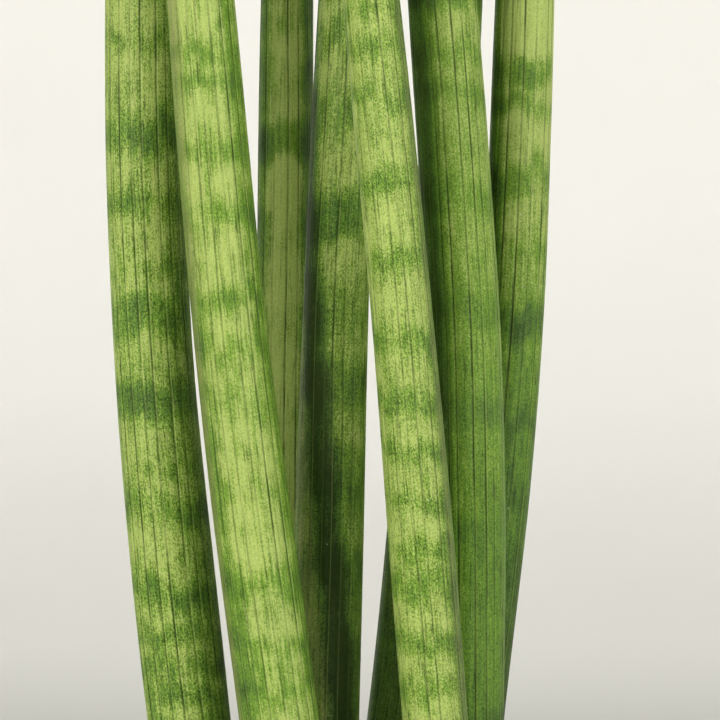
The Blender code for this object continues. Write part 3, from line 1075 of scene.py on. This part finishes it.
def scatter(name, shapes, material, count, seed, sizes, lift, tilt):
    """Copies of the shapes over the mix, each turned and sized by the seed, joined into one piece."""
    draw = random.Random(seed)
    copies = []
    for place in scattered_places(count, draw, sizes[1]):
        size = draw.uniform(*sizes)
        source = draw.choice(shapes)
        copy = source.copy()
        copy.data = source.data.copy()
        bpy.context.scene.collection.objects.link(copy)
        copy.location = (place.x, place.y, mix_height(place.x, place.y) + lift * size)
        copy.rotation_euler = (draw.gauss(0, tilt), draw.gauss(0, tilt), draw.uniform(0, FULL_TURN))
        copy.scale = [size * draw.uniform(0.75, 1.25) for _ in range(3)]
        copies.append(copy)
    start_piece()
    for shape in shapes:
        bpy.data.objects.remove(shape)
    for copy in copies:
        copy.select_set(True)
    bpy.context.view_layer.objects.active = copies[0]
    bpy.ops.object.join()
    finish_piece(copies[0], name, material)


def chip_shape(seed, width, thickness, roughness):
    """One flat, splintered chip a unit long."""
    start_piece()
    bpy.ops.mesh.primitive_cube_add(size=1)
    edit_all()
    bpy.ops.transform.resize(value=(1, width, thickness))
    bpy.ops.mesh.subdivide(number_cuts=1)
    bpy.ops.transform.vertex_random(offset=roughness, uniform=0.3, seed=seed)
    bpy.ops.mesh.bevel(offset=0.03, segments=1, affect="EDGES", clamp_overlap=True)
    bpy.ops.object.mode_set(mode="OBJECT")
    bpy.ops.object.shade_smooth_by_angle(angle=math.radians(40))
    return bpy.context.active_object


def grain_shape(seed, roughness, flatness):
    """One rough grain a unit across."""
    start_piece()
    bpy.ops.mesh.primitive_ico_sphere_add(subdivisions=2, radius=0.5)
    edit_all()
    bpy.ops.transform.vertex_random(offset=roughness, uniform=0.4, normal=0.6, seed=seed)
    bpy.ops.transform.resize(value=(1, 1, flatness))
    bpy.ops.object.mode_set(mode="OBJECT")
    bpy.ops.object.shade_smooth()
    return bpy.context.active_object


# The shapes of the loose bits: chips as (seed, width, thickness, roughness) to a length of 1, and grains
# and crumbs as (seed, roughness, flatness) to a width of 1
CHIP_SHAPES = ((1, 0.62, 0.24, 0.05), (2, 0.38, 0.2, 0.045), (3, 0.8, 0.3, 0.06))
GRAIN_SHAPES = ((4, 0.10, 1.0), (5, 0.13, 1.0), (6, 0.08, 1.0))
CRUMB_SHAPES = ((7, 0.16, 0.7), (8, 0.2, 0.8))
# How each kind of loose bit lies: its seed, its smallest and largest size, how high its middle sits as a
# share of its size, and how far it tilts in radians
BARK_LIE = {"seed": 11, "sizes": (4 * MM, 10 * MM), "lift": 0.10, "tilt": 0.28}
GRIT_LIE = {"seed": 12, "sizes": (1.2 * MM, 3.2 * MM), "lift": 0.2, "tilt": 1.0}
CRUMB_LIE = {"seed": 13, "sizes": (1.2 * MM, 3.6 * MM), "lift": 0.15, "tilt": 0.8}


class SNAKEPLANT_OT_bark_chips(bpy.types.Operator):
    """Scatters bark chips over the potting mix"""

    bl_idname = "snake_plant.bark_chips"
    bl_label = "Bark Chips"

    def execute(self, context):
        settings = context.scene.snake_plant_mix
        chips = [chip_shape(*shape) for shape in CHIP_SHAPES]
        scatter("bark_chips", chips, bark_material(settings), settings.bark_count, **BARK_LIE)
        return {"FINISHED"}


class SNAKEPLANT_OT_grit(bpy.types.Operator):
    """Scatters perlite grains and crumbs of peat over the potting mix"""

    bl_idname = "snake_plant.grit"
    bl_label = "Perlite and Crumbs"

    def execute(self, context):
        settings = context.scene.snake_plant_mix
        grains = [grain_shape(*shape) for shape in GRAIN_SHAPES]
        scatter("perlite_grains", grains, grit_material(settings), settings.grit_count, **GRIT_LIE)
        crumbs = [grain_shape(*shape) for shape in CRUMB_SHAPES]
        scatter("peat_crumbs", crumbs, peat_material(settings), settings.crumb_count, **CRUMB_LIE)
        return {"FINISHED"}


# Pot

POT_SIDES = 160
# The pot's outline, out from its underside, up, over the rim and down inside, as (radius, height)
POT_OUTLINE = (
    (50.6, 0.0), (51.5, 0.3), (52.0, 1.2), (55.0, 19.5), (58.2, 39.0), (61.4, 58.5), (64.6, 78.0),
    (67.6, 103.4), (68.0, 104.4), (68.6, 104.9), (72.6, 105.0), (73.6, 105.3), (74.2, 106.1),
    (74.5, 112.0), (74.8, 123.0), (75.0, 132.6), (74.5, 134.2), (72.9, 135.0), (70.0, 135.0),
    (68.3, 134.4), (67.5, 132.6), (65.6, 122.0), (63.7, 110.0), (58.4, 79.0), (53.2, 48.0),
    (48.4, 19.5), (47.0, 11.2), (46.2, 9.4), (44.9, 9.0),
)
DRAIN_RADIUS = 6 * MM
DRAIN_DISTANCE = 27 * MM
DRAIN_DIRECTIONS = (90, 210, 330)
DRILL_SIDES = 48
DRILL_LENGTH = 20 * MM
DRILL_MIDDLE = 4.5 * MM


def build_pot(settings):
    """A disc's edge drawn out and up along the pot's outline, then the drain holes cut."""
    pot = swept_disc(POT_SIDES, [(radius * MM, height * MM) for radius, height in POT_OUTLINE])
    bpy.ops.mesh.edge_face_add()
    end_edit()
    for direction in DRAIN_DIRECTIONS:
        cut_drain_hole(pot, math.radians(direction))
    select_only(pot)
    bpy.ops.object.shade_smooth_by_angle(angle=math.radians(50))
    finish_piece(pot, "clay_pot", clay_material(settings), stands_for=("pot",))


def cut_drain_hole(pot, direction):
    start_piece()
    place = (DRAIN_DISTANCE * math.cos(direction), DRAIN_DISTANCE * math.sin(direction), DRILL_MIDDLE)
    bpy.ops.mesh.primitive_cylinder_add(
        vertices=DRILL_SIDES, radius=DRAIN_RADIUS, depth=DRILL_LENGTH, location=place
    )
    drill = bpy.context.active_object
    cut = pot.modifiers.new("drain hole", "BOOLEAN")
    cut.object = drill
    cut.operation = "DIFFERENCE"
    cut.solver = "EXACT"
    select_only(pot)
    bpy.ops.object.modifier_apply(modifier=cut.name)
    bpy.data.objects.remove(drill)


class SNAKEPLANT_OT_pot(bpy.types.Operator):
    """Turns the clay pot and cuts its drain holes"""

    bl_idname = "snake_plant.pot"
    bl_label = "Pot"

    def execute(self, context):
        build_pot(context.scene.snake_plant_pot)
        return {"FINISHED"}


# Stage

BACKDROP_SIDES = 128
# The backdrop's outline, out from the edge of its floor and up its wall, as (radius, height) in metres
COVE = ((4.0, 0.0), (5.2, 0.06), (6.1, 0.30), (6.8, 0.85), (7.15, 1.6), (7.3, 2.6), (7.35, 4.0))
PLANT_MIDDLE = (0, 0, 0.4)
WALL_LIGHTS = 6
# Where each backdrop light stands and what it faces, as (distance from the middle, height) in metres
WALL_LIGHT_PLACE = (0.8, 3.0)
WALL_LIGHT_AIM = (7.0, 0.9)
WALL_LIGHT_SPREAD = 110
WALL_LIGHT_COLOUR = (1.0, 0.99, 0.965)
ROOM_COLOUR = (1.0, 0.99, 0.97, 1.0)
CAMERA_PLACE = (1.08 * MM, -1.0, 0.332)
SEEN_WIDTH = 0.1944
SENSOR_WIDTH = 36.0


def build_backdrop(settings):
    """A round floor whose edge sweeps up into a wall."""
    backdrop = swept_disc(BACKDROP_SIDES, COVE)
    end_edit(inside=True)
    bpy.ops.object.shade_smooth()
    backdrop.name = "backdrop"
    backdrop.data.materials.append(backdrop_material(settings))


def add_soft_light(name, place, aim, size, power, colour, spread=180):
    """A large round light that faces its aim and isn't seen by the camera."""
    bpy.ops.object.light_add(type="AREA", location=place)
    lamp = bpy.context.active_object
    lamp.name = name
    lamp.data.shape = "DISK"
    lamp.data.size = size
    lamp.data.energy = power
    lamp.data.color = colour
    lamp.data.spread = math.radians(spread)
    lamp.rotation_euler = (Vector(aim) - Vector(place)).to_track_quat("-Z", "Y").to_euler()
    lamp.visible_camera = False


def light_stage(settings):
    """Three large soft lights on the plant, and a ring of lights that face outwards to the backdrop."""
    start_piece()
    lights = (
        ("key", (-1.6, -1.9, 1.3), PLANT_MIDDLE, 1.5, settings.key_power, (1.0, 0.985, 0.96)),
        ("fill", (1.9, -1.6, 1.0), PLANT_MIDDLE, 1.4, settings.fill_power, (0.98, 0.99, 1.0)),
        ("top", (0, -0.3, 2.4), (0, 0, 0), 1.5, settings.top_power, (1.0, 0.99, 0.97)),
    )
    for light in lights:
        add_soft_light(*light)
    for number in range(WALL_LIGHTS):
        turn = FULL_TURN * (number + 0.5) / WALL_LIGHTS
        ahead = Vector((math.cos(turn), math.sin(turn), 0))
        name = "backdrop_light_" + str(number + 1)
        place, aim = (ahead * out + Vector((0, 0, up)) for out, up in (WALL_LIGHT_PLACE, WALL_LIGHT_AIM))
        power = settings.wall_power
        add_soft_light(name, place, aim, 1.8, power, WALL_LIGHT_COLOUR, WALL_LIGHT_SPREAD)
    world = bpy.data.worlds.new("room")
    world.use_nodes = True
    background = world.node_tree.nodes["Background"]
    background.inputs["Color"].default_value = ROOM_COLOUR
    background.inputs["Strength"].default_value = settings.sky_strength
    bpy.context.scene.world = world
    bpy.context.scene.view_settings.view_transform = "Standard"


def place_camera():
    """Looks level along +Y, as the photograph does, at the stretch of leaves that it shows."""
    start_piece()
    bpy.ops.object.camera_add(location=CAMERA_PLACE, rotation=(math.pi / 2, 0, 0))
    camera = bpy.context.active_object
    camera.name = "camera"
    camera.data.sensor_width = SENSOR_WIDTH
    camera.data.lens = SENSOR_WIDTH * abs(CAMERA_PLACE[1]) / SEEN_WIDTH
    bpy.context.scene.camera = camera


class SNAKEPLANT_OT_stage(bpy.types.Operator):
    """Sets the pale floor and backdrop, the soft lights and the camera"""

    bl_idname = "snake_plant.stage"
    bl_label = "Stage, Lights and Camera"

    def execute(self, context):
        settings = context.scene.snake_plant_stage
        build_backdrop(settings)
        light_stage(settings)
        place_camera()
        return {"FINISHED"}


class SNAKEPLANT_PT_panel(bpy.types.Panel):
    """Lists every group of settings with its operators"""

    bl_label = "Snake Plant"
    bl_space_type = "VIEW_3D"
    bl_region_type = "UI"
    bl_category = "Snake Plant"

    def draw(self, context):
        for name, (_, operators) in GROUPS.items():
            box = self.layout.box()
            settings = getattr(context.scene, name)
            for setting in settings.bl_rna.properties.keys():
                if setting not in ("rna_type", "name"):
                    box.prop(settings, setting)
            for operator in operators:
                box.operator(operator.bl_idname)


GROUPS = {
    "snake_plant_leaf": (LeafSettings, (SNAKEPLANT_OT_leaves, SNAKEPLANT_OT_spines)),
    "snake_plant_mix": (
        MixSettings,
        (SNAKEPLANT_OT_potting_mix, SNAKEPLANT_OT_bark_chips, SNAKEPLANT_OT_grit),
    ),
    "snake_plant_pot": (PotSettings, (SNAKEPLANT_OT_pot,)),
    "snake_plant_stage": (StageSettings, (SNAKEPLANT_OT_stage,)),
}
CLASSES = [one for group, operators in GROUPS.values() for one in (group, *operators)]
CLASSES.append(SNAKEPLANT_PT_panel)


def register():
    for one in CLASSES:
        bpy.utils.register_class(one)
    for name, (group, _) in GROUPS.items():
        setattr(bpy.types.Scene, name, bpy.props.PointerProperty(type=group))


def unregister():
    for name in GROUPS:
        delattr(bpy.types.Scene, name)
    for one in reversed(CLASSES):
        bpy.utils.unregister_class(one)


def main():
    register()
    bpy.ops.snake_plant.leaves()
    bpy.ops.snake_plant.spines()
    bpy.ops.snake_plant.potting_mix()
    bpy.ops.snake_plant.bark_chips()
    bpy.ops.snake_plant.grit()
    bpy.ops.snake_plant.pot()
    bpy.ops.snake_plant.stage()


if __name__ == "__main__":
    main()
